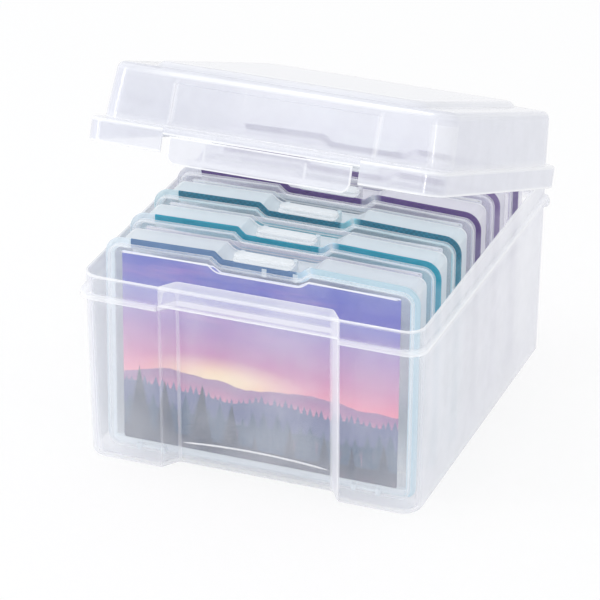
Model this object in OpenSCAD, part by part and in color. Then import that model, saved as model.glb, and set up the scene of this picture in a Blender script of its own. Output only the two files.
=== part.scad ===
// Photo keeper case: a clear box with a hinged domed lid and six thin photo cases standing in it.
// Millimetres. The origin is the centre of the base's underside, +X right, +Y back, +Z up.

/* [Tub] */
// Width of the tub at its base
tub_base_w = 214; // [208:1:220]
// Depth of the tub at its base
tub_base_d = 242; // [240:1:250]
// Growth of the tub's width from base to rim, from the wall's draft
tub_draft_w = 2.6; // [1:0.2:5]
// Growth of the tub's depth from base to rim, from the wall's draft
tub_draft_d = 7.8; // [6:0.2:10]
// Height of the tub's rim
tub_h = 125.3; // [120:0.1:130]
// Thickness of the tub's wall
tub_wall = 1.6; // [1.2:0.1:2]
// Thickness of the tub's floor
tub_floor = 2.2; // [1.6:0.1:3]
// Radius of the tub's upright corners
tub_corner_r = 12; // [9:1:16]
// Rounding of the edge round the base
tub_foot_r = 3; // [1:0.5:5]
// Rounding of the edge inside, round the floor
tub_inner_r = 0.2; // [0.1:0.1:1]

/* [Flange] */
// Height of the inner rim above the flange's top face, where the wall's draft ends
rim_h = 12.4; // [11.5:0.1:13]
// Thickness of the flange
flange_t = 3; // [2:0.1:4]
// How far the flange stands out at the sides
flange_side = 2.9; // [2.6:0.1:4]
// How far the flange stands out in front
flange_front = 2.8; // [2.6:0.1:4]
// How far the flange stands out at the back
flange_back = 4.4; // [4.2:0.1:6]
// Drop of the flange along the back, which lets the lid's skirt swing down
flange_drop = 5.5; // [5.2:0.1:8]
// Length of side flange that is dropped, from the back
flange_drop_len = 14; // [12:1:24]

/* [Front recess] */
// Width of the recess at its mouth
recess_w = 114; // [100:1:130]
// Run of each slanted side of the recess
recess_run = 7.5; // [4:0.5:10]
// Depth of the recess behind the front wall
recess_d = 10.7; // [8:0.1:13]
// Height of the catch apron that crosses the recess below the rim
catch_h = 13.3; // [11:0.1:15]
// Thickness of the catch apron and of the shelf behind it
catch_t = 1.6; // [1.2:0.1:2.5]

/* [Lid] */
// Angle at which the lid stands open
lid_open = 21.6; // [5:0.1:60]
// Thickness of the lid's wall
lid_wall = 1.6; // [1.2:0.1:2]
// Gap between the rim's top and the underside of the lid's ledge
ledge_gap = 0.9; // [0.5:0.1:3]
// How far the skirt stands out past the flange at each side
skirt_side = 0.8; // [0:0.1:2]
// Radius of the lid's upright corners
lid_corner_r = 14; // [11:1:18]
// Width of the dome where it leaves the ledge
dome_w = 220; // [214:1:221]
// Room between the tops of the cases and the underside of the dome
head_room = 16.9; // [15:0.1:25]
// Lean of the dome's side and rear walls
dome_lean = 1.8; // [0.5:0.1:3]
// Lean of the dome's front wall
dome_front_lean = 3; // [1:0.5:4]
// Gap between the dome's front wall and the first case's cover, lid closed
dome_gap = 0.5; // [0.4:0.1:1.5]
// Depth of the ledge behind the dome
ledge_back = 14.8; // [13:0.1:17]
// Rounding of the dome's upper edge
dome_edge_r = 5; // [2:0.5:8]
// Width of the raised plateau
plateau_w = 173; // [140:1:190]
// Distance from the dome's front to the plateau
plateau_front = 12.5; // [6:0.5:30]
// Height of the plateau
plateau_h = 3.2; // [1:0.1:5]
// Width of the shallow panel in the dome's front
panel_w = 129; // [90:1:150]
// Distance of the shallow panel's top below the dome's rounded edge
panel_top = 3.5; // [2:0.1:12]
// Depth of the shallow panel
panel_in = 0.6; // [0.2:0.1:0.8]

/* [Lid latch tab] */
// Width of the tab
tab_w = 115; // [80:1:120]
// How far the tab hangs below the skirt
tab_drop = 6.2; // [5:0.1:9]
// Width of the slot at each side of the tab
tab_slot = 4.5; // [2:0.1:6]
// Height of the tab's flexing root above the skirt's lower edge
tab_root = 10.6; // [8:0.1:12]
// Radius of the tab's lower corners
tab_r = 6; // [3:0.5:8]
// Width of the catch rib behind the tab
rib_w = 90; // [50:1:100]
// How far the catch rib reaches in
rib_reach = 2.4; // [2:0.1:3]
// Height of the catch rib
rib_h = 3.2; // [2:0.1:4]

/* [Lid hinge] */
// Distance of each hinge from the middle
hinge_x = 62; // [40:1:80]
// Distance of the hinge axis below the flange's top face
hinge_drop = 0.6; // [0:0.1:1.2]
// Distance of the hinge axis behind the rim wall's outer face
hinge_out = 0.4; // [0:0.1:0.8]
// Radius of the hinge pin
hinge_pin_r = 1.5; // [1.2:0.1:1.8]
// Radius of the lid's knuckle
knuckle_r = 2.8; // [2.5:0.1:3]
// Length of the lid's knuckle
knuckle_len = 19; // [12:1:26]
// Thickness of the cheek at each end of the pin
cheek_t = 3; // [2:0.1:5]
// Gap beside each cheek in the lid's rear skirt
notch_gap = 1.4; // [1:0.1:3]
// Room above the knuckle in the lid's rear skirt
notch_rise = 3; // [2:0.5:5]

/* [Photo cases] */
// Gap between one case's back and the next case's cover
case_gap = 5.5; // [5.3:0.1:8]
// Room behind the last case, measured to the outside of the tub's base
case_back_room = 10.8; // [10:0.1:16]
// Width of a case across its coloured band
case_w = 201; // [196:0.5:204]
// Height of a case
case_h = 141; // [139.5:0.5:145]
// Thickness of a case's walls
case_wall = 1.2; // [0.8:0.1:1.4]
// Radius of a case's upper corners
case_r = 11; // [10:1:15]
// Radius of a case's lower corners
case_foot_r = 7; // [6.5:0.5:9]
// Height of the coloured band that shows round the cover
band_w = 3; // [2:0.1:4]
// Thickness of the coloured band
band_t = 2; // [1.2:0.1:3]
// How far the tray's body stands in behind the band
body_in = 5; // [4.5:0.1:5.5]
// Half width of the dip in the case's top
dip_w = 30; // [28:1:40]
// Run of the dip's slanted sides
dip_run = 5.5; // [2:0.5:8]
// Depth of the dip
dip_h = 4; // [3.5:0.1:4.5]
// Depth of the cover
cover_d = 4.6; // [4.6:0.1:5.5]
// Thickness of the cover's plate and walls
cover_wall = 1; // [0.8:0.1:1.2]
// Height of the cover's lower edge above the case's base
cover_foot = 0.5; // [0.2:0.1:0.8]

/* [Case hinge and latch] */
// Distance of each cover hinge from the middle
case_hinge_x = 70; // [40:1:80]
// Radius of the cover's hinge pin
case_pin_r = 1; // [0.8:0.1:1.2]
// Radius of the cover's knuckle
case_knuckle_r = 2.1; // [1.8:0.1:2.2]
// Length of the cover's knuckle
case_knuckle_len = 12; // [8:1:20]
// Height of the cover's knuckle above the case's base
case_knuckle_z = 0.5; // [0.2:0.1:0.6]
// Thickness of the lug at each end of that knuckle
lug_t = 3; // [2:0.5:5]
// Width of the latch
latch_w = 38; // [30:1:44]
// Width left at each end of the latch for the tray's ears
latch_shoulder = 4; // [3.5:0.5:6]
// Distance of the latch's pivot behind the coloured band
latch_reach = 11; // [10.5:0.5:13]
// Distance of the latch's pivot below its plate
latch_axis_drop = 0.6; // [0.4:0.1:0.8]
// Distance of the finger bar behind the coloured band
latch_bar_back = 2; // [1:0.5:2.5]
// Depth of the latch's finger bar
latch_bar_d = 6; // [4:0.5:7]
// Height of the latch's finger bar above its plate
latch_bar_h = 2.6; // [1.5:0.1:4]
// Thickness of the latch's plate
latch_t = 1.4; // [1:0.1:1.6]
// Radius of the latch's pivot pin
latch_pin_r = 0.9; // [0.7:0.1:1]
// Radius of the latch's knuckle
latch_knuckle_r = 2; // [1.8:0.1:2.1]

/* [Prints] */
// Width of a print or card
print_w = 178; // [150:1:180]
// Height of a print or card
print_h = 127; // [100:1:127]
// Thickness of a print or card with its backing
print_t = 0.6; // [0.4:0.1:0.8]
// Distance of its back from the coloured band
print_back = 0.8; // [0.4:0.1:1]
// Gap above and below it
print_gap = 0.1; // [0.1:0.05:0.3]
// Thickness of the shelf that carries it
shelf_t = 1; // [0.8:0.1:1.1]

/* [Clearances] */
// Gap between the closed skirt and the flange
skirt_gap = 0.3; // [0.2:0.05:0.6]
// Radial running clearance of each pin in its bore
pin_gap = 0.05; // [0.02:0.01:0.08]
// Gap beside knuckles, lugs and other moving pieces
side_gap = 0.4; // [0.3:0.05:0.8]
// Gap between the tub's recessed panel and the first case
case_front_gap = 0.6; // [0.5:0.1:0.8]
// Gap between a case and the floor, and between its cover and its band
seat_gap = 0.3; // [0.2:0.05:0.4]

/* [Hidden] */
$fn = 48;
eps = 0.01;
over = 20;
past = 1;
case_n = 6;

clear_plastic = [0.90, 0.91, 0.95, 0.55];
latch_white = [0.97, 0.97, 0.98];
band_colours = ["#4a6a94", "#1f8ea6", "#1c6f8c", "#6a4488", "#5d4a86", "#4c3a78"];
card_colours = ["#8a91cd", "#b8dbe4", "#a4cbd8", "#c9bcd8", "#bdb4d2", "#b4aacb"];

flange_z = tub_h - rim_h;
tub_rim_w = tub_base_w + tub_draft_w;
tub_rim_d = tub_base_d + tub_draft_d;
rim_front_y = -tub_rim_d / 2;
rim_back_y = tub_rim_d / 2;

hinge_y = rim_back_y + hinge_out;
hinge_z = flange_z - hinge_drop;
window_w = knuckle_len + 2 * side_gap;
window_z = hinge_z - knuckle_r - side_gap;
flange_cut_w = max(recess_w, tab_w + 2 * side_gap);

case_front_y = -tub_base_d / 2 + recess_d + tub_wall + case_front_gap;
case_back_y = tub_base_d / 2 - case_back_room;
case_d = (case_back_y - case_front_y - (case_n - 1) * case_gap) / case_n;
case_pitch = case_d + case_gap;
case_z = tub_floor + seat_gap;
case_top_z = case_z + case_h;
cover_back = cover_d - seat_gap;
case_hinge_y = case_knuckle_r + eps;
case_hinge_z = case_z + case_knuckle_z + case_knuckle_r;
latch_plate_z = case_top_z - dip_h + seat_gap;
latch_axis_y = cover_d + band_t + latch_reach;
latch_axis_z = latch_plate_z - latch_axis_drop;
latch_len = latch_w - 2 * latch_shoulder;
print_top_z = case_top_z - dip_h - band_w - cover_wall - print_gap;
print_z = print_top_z - print_h;
print_y = cover_d - print_back - print_t;
shelf_z = print_z - print_gap;

skirt_w = tub_rim_w + 2 * flange_side + 2 * skirt_side;
skirt_front_y = rim_front_y - flange_front;
skirt_back_y = rim_back_y + flange_back;
skirt_z = flange_z + skirt_gap;
ledge_z = tub_h + ledge_gap + lid_wall;
dome_z = case_top_z + head_room + lid_wall;
dome_wall_h = dome_z - ledge_z - dome_edge_r;
dome_slope = dome_front_lean / dome_wall_h;
dome_front_y = case_front_y - dome_gap - lid_wall - dome_slope * (case_top_z - band_w - ledge_z);
dome_back_y = skirt_back_y - ledge_back;
panel_h = dome_wall_h - panel_top;

// A rectangle with round corners, centred, as squares and circles.
module round_rect(w, d, r) {
    square([w - 2 * r, d], center = true);
    square([w, d - 2 * r], center = true);
    for (x = [-1, 1], y = [-1, 1])
        translate([x * (w / 2 - r), y * (d / 2 - r)]) circle(r);
}

// A thin horizontal slice for a tapering shell, between two y values.
module slice(w, y0, y1, r, z) {
    translate([0, (y0 + y1) / 2, z])
        linear_extrude(eps) round_rect(w, y1 - y0, r, $fn = 32);
}

// Extrudes a face drawn in x and z along +Y, from y0.
module upright(y0, depth) {
    translate([0, y0 + depth, 0]) rotate([90, 0, 0]) linear_extrude(depth) children();
}

// Extrudes a profile drawn in y and z along X, centred on x.
module across(x, w) {
    translate([x - w / 2, 0, 0]) rotate([90, 0, 90]) linear_extrude(w) children();
}

// A round bar along X.
module bar_x(x, w, y, z, r) {
    translate([x - w / 2, y, z]) rotate([0, 90, 0]) cylinder(h = w, r = r);
}

// A box between two corners.
module box(low, high) {
    translate(low) cube(high - low);
}

// The tub's solid body from `z0` to `z1`, drawn in by `inset` on every side, with `edge` as the rounding
// of its lower edge.
module tub_block(inset, z0, z1, edge) {
    r = tub_corner_r - inset;
    w = tub_base_w - 2 * inset;
    d = tub_base_d - 2 * inset;
    wr = tub_rim_w - 2 * inset;
    dr = tub_rim_d - 2 * inset;
    hull() {
        slice(w - 2 * edge, -d / 2 + edge, d / 2 - edge, r - edge / 2, z0);
        slice(w - 0.6 * edge, -d / 2 + 0.3 * edge, d / 2 - 0.3 * edge, r, z0 + 0.3 * edge);
        slice(w, -d / 2, d / 2, r, z0 + edge);
        slice(wr, -dr / 2, dr / 2, r, flange_z);
        slice(wr, -dr / 2, dr / 2, r, z1 - eps);
    }
}

// The recess in front, `grow` wider and deeper for the inside of its wall.
module recess_block(grow) {
    module plan(wall_y, z) {
        half = recess_w / 2 + grow;
        out = over * recess_run / recess_d;
        translate([0, 0, z]) linear_extrude(eps) polygon([
            [-half - out, wall_y - over], [half + out, wall_y - over],
            [half - recess_run, wall_y + recess_d + grow], [-half + recess_run, wall_y + recess_d + grow]
        ]);
    }
    hull() {
        plan(-tub_base_d / 2, -past);
        plan(rim_front_y, flange_z);
        plan(rim_front_y, tub_h + past);
    }
}

// The flange's outline at full reach.
module flange_ring(z, t) {
    y0 = rim_front_y - flange_front;
    y1 = rim_back_y + flange_back;
    translate([0, 0, z - t]) linear_extrude(t) difference() {
        translate([0, (y0 + y1) / 2])
            round_rect(tub_rim_w + 2 * flange_side, y1 - y0, tub_corner_r + flange_side / 2);
        round_rect(tub_rim_w - tub_wall, tub_rim_d - tub_wall, tub_corner_r - tub_wall / 2);
    }
}

module flange() {
    wide = tub_rim_w;
    step_y = rim_back_y + flange_back - flange_drop_len;
    low_z = flange_z - flange_drop;
    difference() {
        flange_ring(flange_z, flange_t);
        box([-wide, step_y, flange_z - over], [wide, step_y + 2 * over, flange_z + over]);
        box([-flange_cut_w / 2, rim_front_y - over, flange_z - over],
            [flange_cut_w / 2, rim_front_y + over, flange_z + over]);
    }
    intersection() {
        flange_ring(low_z, flange_t);
        box([-wide, step_y - flange_t, low_z - over], [wide, step_y + 2 * over, low_z + over]);
    }
    intersection() {
        flange_ring(flange_z, flange_drop + flange_t);
        box([-wide, step_y - flange_t, 0], [wide, step_y, tub_h]);
    }
}

// The apron that the lid's tab hooks under, and the shelf that closes the recess behind it.
module catch_strip() {
    half = recess_w / 2;
    box([-half, rim_front_y, tub_h - catch_h], [half, rim_front_y + catch_t, tub_h]);
    box([-half + recess_run, rim_front_y, tub_h - catch_t],
        [half - recess_run, rim_front_y + recess_d + tub_wall / 2, tub_h]);
}

module tub() {
    color(clear_plastic) difference() {
        union() {
            difference() {
                difference() {
                    tub_block(0, 0, tub_h, tub_foot_r);
                    recess_block(0);
                }
                difference() {
                    tub_block(tub_wall, tub_floor, tub_h + past, tub_inner_r);
                    recess_block(tub_wall);
                }
            }
            flange();
            catch_strip();
            for (side = [-1, 1], end = [-1, 1])
                bar_x(side * hinge_x + end * (window_w + cheek_t) / 2, cheek_t + 2 * eps,
                    hinge_y, hinge_z, knuckle_r - side_gap);
        }
        for (side = [-1, 1])
            box([side * hinge_x - window_w / 2, rim_back_y - over / 2, window_z],
                [side * hinge_x + window_w / 2, rim_back_y + over, tub_h + past]);
    }
    color(clear_plastic) for (side = [-1, 1])
        bar_x(side * hinge_x, window_w + cheek_t, hinge_y, hinge_z, hinge_pin_r);
}

// Places what is drawn for the closed lid at the angle where the lid stands open.
module lid_swing() {
    translate([0, hinge_y, hinge_z]) rotate([-lid_open, 0, 0])
        translate([0, -hinge_y, -hinge_z]) children();
}

module skirt_block(inset, z0, z1) {
    y0 = skirt_front_y + inset;
    y1 = skirt_back_y - inset;
    translate([0, (y0 + y1) / 2, z0]) linear_extrude(z1 - z0)
        round_rect(skirt_w - 2 * inset, y1 - y0, lid_corner_r - inset);
}

// The dome, drawn in by `inset`, from `z0` up to its rounded upper edge.
module dome_block(inset, z0) {
    top = dome_z - inset;
    edge = dome_edge_r - inset / 2;
    w = dome_w - 2 * inset;
    y0 = dome_front_y + inset;
    y1 = dome_back_y - inset;
    r = lid_corner_r - inset;
    lean = dome_lean;
    front = dome_front_lean;
    hull() {
        slice(w, y0, y1, r, z0);
        slice(w - 2 * lean, y0 + front, y1 - lean, r, top - edge);
        slice(w - 2 * lean - 0.6 * edge, y0 + front + 0.3 * edge, y1 - lean - 0.3 * edge, r,
            top - 0.3 * edge);
        slice(w - 2 * lean - 2 * edge, y0 + front + edge, y1 - lean - edge, r - edge / 2, top - eps);
    }
}

module plateau_block(inset) {
    w = plateau_w - 2 * inset;
    y0 = dome_front_y + plateau_front + inset;
    y1 = dome_back_y - dome_lean - dome_edge_r - inset;
    r = lid_corner_r - inset;
    top = dome_z + plateau_h - inset;
    hull() {
        slice(w, y0, y1, r, dome_z - inset - past);
        slice(w, y0, y1, r, dome_z - inset);
        slice(w - 2 * plateau_h, y0 + plateau_h, y1 - plateau_h, r - plateau_h / 2, top - eps);
    }
}

// The shallow panel in the dome's leaning front wall.
module front_panel() {
    low = ledge_z;
    across(0, panel_w) polygon([
        [dome_front_y - over, low],
        [dome_front_y + panel_in, low],
        [dome_front_y + panel_in + dome_slope * panel_h, low + panel_h],
        [dome_front_y - over, low + panel_h]
    ]);
}

module lid() {
    notch_w = window_w + 2 * cheek_t + 2 * notch_gap;
    notch_top = hinge_z + knuckle_r + notch_rise;
    slot_w = tab_w + 2 * tab_slot;
    color(clear_plastic) lid_swing() difference() {
        union() {
            difference() {
                union() {
                    skirt_block(0, skirt_z, ledge_z);
                    dome_block(0, ledge_z - lid_wall);
                    plateau_block(0);
                }
                skirt_block(lid_wall, skirt_z - past, ledge_z - lid_wall);
                dome_block(lid_wall, ledge_z - lid_wall - past);
                plateau_block(lid_wall);
                front_panel();
                box([-slot_w / 2, skirt_front_y - past, skirt_z - past],
                    [slot_w / 2, skirt_front_y + lid_wall + eps, skirt_z + tab_root]);
                for (side = [-1, 1])
                    box([side * hinge_x - notch_w / 2, skirt_back_y - lid_wall - past, skirt_z - past],
                        [side * hinge_x + notch_w / 2, skirt_back_y + past, notch_top]);
            }
            for (side = [-1, 1]) {
                bar_x(side * hinge_x, knuckle_len, hinge_y, hinge_z, knuckle_r);
                box([side * hinge_x - knuckle_len / 2, hinge_y - knuckle_r / 2, hinge_z],
                    [side * hinge_x + knuckle_len / 2, hinge_y + knuckle_r / 2, ledge_z - lid_wall / 2]);
            }
        }
        for (side = [-1, 1])
            bar_x(side * hinge_x, window_w + 2 * past, hinge_y, hinge_z, hinge_pin_r + pin_gap);
    }
}

// The tab that is cut free in the lid's front skirt, with the catch rib behind it.
module lid_latch_tab() {
    low = skirt_z - tab_drop;
    high = skirt_z + tab_root - seat_gap;
    back = skirt_front_y + lid_wall;
    rib_top = tub_h - catch_h - side_gap;
    color(clear_plastic) lid_swing() {
        upright(skirt_front_y, lid_wall) union() {
            translate([-tab_w / 2, low + tab_r]) square([tab_w, high - low - tab_r]);
            translate([-tab_w / 2 + tab_r, low]) square([tab_w - 2 * tab_r, tab_r + eps]);
            for (side = [-1, 1]) translate([side * (tab_w / 2 - tab_r), low + tab_r]) circle(tab_r);
        }
        across(0, rib_w) polygon([
            [back - eps, rib_top - rib_h], [back + rib_reach / 2, rib_top - rib_h],
            [back + rib_reach, rib_top - rib_h / 3], [back + rib_reach, rib_top], [back - eps, rib_top]
        ]);
    }
}

// The outline of a photo case in x and z, drawn in by `inset`, with the dip in its top.
module case_face(inset, foot_inset) {
    half = case_w / 2 - inset;
    low = case_z + foot_inset;
    high = case_top_z - inset;
    r = case_r - inset;
    rf = case_foot_r - inset;
    dip = dip_w + inset / 2;
    foot = dip - dip_run;
    difference() {
        union() {
            translate([-half + rf, low]) square([2 * (half - rf), rf]);
            translate([-half, low + rf]) square([2 * half, high - low - r - rf]);
            translate([-half + r, low + rf]) square([2 * (half - r), high - low - rf]);
            for (side = [-1, 1]) {
                translate([side * (half - r), high - r]) circle(r);
                translate([side * (half - rf), low + rf]) circle(rf);
            }
        }
        polygon([
            [-dip - past * dip_run / dip_h, high + past], [-foot, high - dip_h],
            [foot, high - dip_h], [dip + past * dip_run / dip_h, high + past]
        ]);
    }
}

function case_y(n) = case_front_y + (n - 1) * case_pitch;

// The tray: band, walls, back, the shelf for the print, hinge lugs and latch ears.
module case_tray(n) {
    y0 = case_y(n);
    inner = body_in + case_wall;
    ear_z = case_top_z - body_in - dip_h - case_wall / 2;
    shelf_w = case_w - 2 * body_in - 2 * eps;
    color(band_colours[n - 1]) translate([0, y0, 0]) {
        upright(cover_d, band_t) difference() {
            case_face(0, 0);
            case_face(inner, case_wall);
        }
        upright(cover_d, case_d - cover_d) difference() {
            case_face(body_in, 0);
            case_face(inner, case_wall);
        }
        upright(case_d - case_wall, case_wall) case_face(body_in, 0);
        box([-shelf_w / 2, print_y - print_gap, shelf_z - shelf_t], [shelf_w / 2, cover_d + band_t, shelf_z]);
        box([-shelf_w / 2, cover_d, case_z + eps],
            [shelf_w / 2, cover_d + band_t, shelf_z - shelf_t / 2]);
        for (side = [-1, 1]) {
            for (end = [-1, 1]) {
                x = side * case_hinge_x + end * (case_knuckle_len / 2 + side_gap + lug_t / 2);
                box([x - lug_t / 2, case_hinge_y - case_knuckle_r, case_hinge_z - case_knuckle_r],
                    [x + lug_t / 2, cover_d + eps, case_hinge_z + case_knuckle_r]);
            }
            bar_x(side * case_hinge_x, case_knuckle_len + 2 * side_gap + lug_t,
                case_hinge_y, case_hinge_z, case_pin_r);
            x = side * (latch_len / 2 + side_gap + lug_t / 2);
            box([x - lug_t / 2, latch_axis_y - latch_knuckle_r, ear_z],
                [x + lug_t / 2, latch_axis_y + latch_knuckle_r, latch_axis_z + latch_knuckle_r]);
        }
        bar_x(0, latch_len + 2 * side_gap + lug_t, latch_axis_y, latch_axis_z, latch_pin_r);
    }
}

// The clear front cover, with a knuckle at each hinge and a gap for each lug.
module case_cover(n) {
    y0 = case_y(n);
    gap = lug_t + 2 * side_gap;
    color(clear_plastic) translate([0, y0, 0]) difference() {
        union() {
            upright(0, cover_wall) case_face(band_w, cover_foot);
            upright(0, cover_back) difference() {
                case_face(band_w, cover_foot);
                case_face(band_w + cover_wall, cover_foot + cover_wall);
            }
            for (side = [-1, 1])
                bar_x(side * case_hinge_x, case_knuckle_len, case_hinge_y, case_hinge_z, case_knuckle_r);
        }
        for (side = [-1, 1]) {
            for (end = [-1, 1]) {
                x = side * case_hinge_x + end * (case_knuckle_len / 2 + gap / 2);
                box([x - gap / 2, -past, case_z - past],
                    [x + gap / 2, cover_d + past, case_hinge_z + case_knuckle_r + side_gap]);
            }
            bar_x(side * case_hinge_x, case_knuckle_len + 2 * past, case_hinge_y, case_hinge_z,
                case_pin_r + pin_gap);
        }
    }
}

// The latch: a plate over the band, a raised finger bar and a knuckle round the pivot pin.
module case_latch(n) {
    y0 = case_y(n);
    bar_y = cover_d + band_t + latch_bar_back + latch_bar_d / 2;
    bar_z = latch_plate_z + latch_t;
    plate_back = latch_axis_y - latch_knuckle_r - side_gap;
    color(latch_white) translate([0, y0, 0]) difference() {
        union() {
            box([-latch_w / 2, cover_wall, latch_plate_z], [latch_w / 2, plate_back, bar_z]);
            box([-latch_len / 2, plate_back - eps, latch_plate_z], [latch_len / 2, latch_axis_y, bar_z]);
            translate([0, bar_y, bar_z - eps]) linear_extrude(latch_bar_h)
                round_rect(latch_w, latch_bar_d, latch_bar_d / 2 - eps);
            bar_x(0, latch_len, latch_axis_y, latch_axis_z, latch_knuckle_r);
        }
        bar_x(0, latch_len + 2 * past, latch_axis_y, latch_axis_z, latch_pin_r + pin_gap);
    }
}

// A landscape print or card standing on the shelf.
module print_sheet(n) {
    color(card_colours[n - 1])
        box([-print_w / 2, case_y(n) + print_y, print_z],
            [print_w / 2, case_y(n) + print_y + print_t, print_top_z]);
}

tub();
lid();
lid_latch_tab();
case_tray(1);  // case_1_tray
case_cover(1);  // case_1_cover
case_latch(1);  // case_1_latch
print_sheet(1);  // case_1_print
case_tray(2);  // case_2_tray
case_cover(2);  // case_2_cover
case_latch(2);  // case_2_latch
print_sheet(2);  // case_2_card
case_tray(3);  // case_3_tray
case_cover(3);  // case_3_cover
case_latch(3);  // case_3_latch
print_sheet(3);  // case_3_card
case_tray(4);  // case_4_tray
case_cover(4);  // case_4_cover
case_latch(4);  // case_4_latch
print_sheet(4);  // case_4_card
case_tray(5);  // case_5_tray
case_cover(5);  // case_5_cover
case_latch(5);  // case_5_latch
print_sheet(5);  // case_5_card
case_tray(6);  // case_6_tray
case_cover(6);  // case_6_cover
case_latch(6);  // case_6_latch
print_sheet(6);  // case_6_card
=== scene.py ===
"""Looks of the photo keeper case: a clear box with a domed lid and six thin photo cases.

Sizes are millimetres in the part's own frame and are turned to metres when a mesh is made.
"""

import logging
import math
from dataclasses import dataclass
from enum import Enum
from typing import ClassVar, Optional, Sequence, Union

import bpy
import numpy as np
from mathutils import Matrix, Vector

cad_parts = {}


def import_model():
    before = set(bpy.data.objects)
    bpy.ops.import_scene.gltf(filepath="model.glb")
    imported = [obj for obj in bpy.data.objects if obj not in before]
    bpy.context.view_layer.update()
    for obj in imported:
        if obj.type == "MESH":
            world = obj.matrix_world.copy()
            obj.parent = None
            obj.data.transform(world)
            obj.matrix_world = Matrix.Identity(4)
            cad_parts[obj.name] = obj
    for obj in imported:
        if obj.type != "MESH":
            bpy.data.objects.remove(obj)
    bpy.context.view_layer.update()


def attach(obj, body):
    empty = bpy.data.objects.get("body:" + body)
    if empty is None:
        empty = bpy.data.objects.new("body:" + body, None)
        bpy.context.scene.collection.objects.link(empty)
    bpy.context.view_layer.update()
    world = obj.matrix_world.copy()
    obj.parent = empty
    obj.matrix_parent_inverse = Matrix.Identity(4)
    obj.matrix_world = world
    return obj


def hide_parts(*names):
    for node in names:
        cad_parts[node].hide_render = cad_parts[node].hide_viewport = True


MM = 0.001
SHARP_ANGLE = math.radians(38)
log = logging.getLogger("photo_keeper")

Rgb = tuple[float, float, float]
Link = bpy.types.NodeSocket
Material = bpy.types.Material
Socket = Union[float, Link]


def linear(red: float, green: float, blue: float) -> Rgb:
    """Turns a colour written in display values from 0 to 255 into linear light.

    Args:
        red: red part.
        green: green part.
        blue: blue part.

    Returns:
        The three linear values.
    """
    v = np.array([red, green, blue]) / 255
    out = np.where(v <= 0.04045, v / 12.92, ((v + 0.055) / 1.055) ** 2.4)
    return float(out[0]), float(out[1]), float(out[2])


class Axis(Enum):
    """The direction along which a stack of outlines rises."""

    X = (1, 2, 0)
    Y = (0, 2, 1)
    Z = (0, 1, 2)


@dataclass
class Outline:
    """A closed outline as a polygon whose corners are rounded.

    Attributes:
        corners: one row for each corner, counter-clockwise.
        radii: the rounding of each corner.
        counts: the number of points on each corner, 1 for a plain point.
        tags: a word for each corner, by which its points are found.
    """

    corners: np.ndarray
    radii: np.ndarray
    counts: np.ndarray
    tags: tuple[str, ...] = ()

    @classmethod
    def listed(cls, rows: Sequence[tuple]) -> "Outline":
        """An outline from rows of first coordinate, second coordinate, radius, count and tag."""
        values = np.array([row[:4] for row in rows], float)
        return cls(values[:, :2], values[:, 2], values[:, 3].astype(int), tuple(row[4] for row in rows))

    def at(self, *tags: str) -> np.ndarray:
        """Returns for each point of the outline whether its corner has one of the tags."""
        return np.repeat([tag in tags for tag in self.tags], self.counts)

    def bends(self, *tags: str) -> np.ndarray:
        """Returns 1 at the inner points of the tagged round corners and 0 elsewhere."""
        return np.concatenate([np.isin(np.arange(k), range(1, k - 1)) * float(tag in tags)
                               for tag, k in zip(self.tags, self.counts)])

    def points(self, inset: Union[float, np.ndarray] = 0.0) -> np.ndarray:
        """Works out the points, with each side moved in by `inset`.

        Each side is moved along its inward normal, and two sides meet again where their lines cross. A
        corner's arc then starts r tan(turn / 2) before the crossing and turns about a centre that lies r
        to the inside of the incoming side.

        Args:
            inset: one distance for all sides, or one for each side.

        Returns:
            One row for each point.
        """
        p = self.corners
        d = np.roll(p, -1, 0) - p
        d = d / np.linalg.norm(d, axis=1)[:, None]
        n = np.stack([-d[:, 1], d[:, 0]], 1)
        e = np.broadcast_to(np.asarray(inset, float), len(p))
        d0, n0, e0 = np.roll(d, 1, 0), np.roll(n, 1, 0), np.roll(e, 1)
        cross = d0[:, 0] * d[:, 1] - d0[:, 1] * d[:, 0]
        turn = np.arctan2(cross, (d0 * d).sum(1))
        flat = np.abs(cross) < 1e-6
        gap = (n * e[:, None]) - (n0 * e0[:, None])
        step = (gap[:, 0] * d[:, 1] - gap[:, 1] * d[:, 0]) / np.where(flat, 1.0, cross)
        q = np.where(flat[:, None], p + n * e[:, None], p + n0 * e0[:, None] + d0 * step[:, None])
        side = np.sign(turn)
        r = np.maximum(self.radii - side * (e + e0) / 2, 0.25)
        out = []
        for i, k in enumerate(self.counts):
            if k == 1:
                out.append(q[i:i + 1])
                continue
            a = turn[i] * np.linspace(0, 1, k)
            s = -side[i] * n0[i] * r[i]
            c = q[i] - d0[i] * r[i] * math.tan(abs(turn[i]) / 2) - s
            cos, sin = np.cos(a), np.sin(a)
            out.append(c + np.stack([s[0] * cos - s[1] * sin, s[0] * sin + s[1] * cos], 1))
        return np.concatenate(out)


def rectangle(x0: float, x1: float, y0: float, y1: float, r: float, k: int = 6) -> Outline:
    """A rectangle with four equal round corners, as an outline.

    Args:
        x0: lower first coordinate.
        x1: upper first coordinate.
        y0: lower second coordinate.
        y1: upper second coordinate.
        r: radius of the corners.
        k: points on each corner.

    Returns:
        The outline.
    """
    c = np.array([[x0, y0], [x1, y0], [x1, y1], [x0, y1]], float)
    return Outline(c, np.full(4, r), np.full(4, k))


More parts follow.
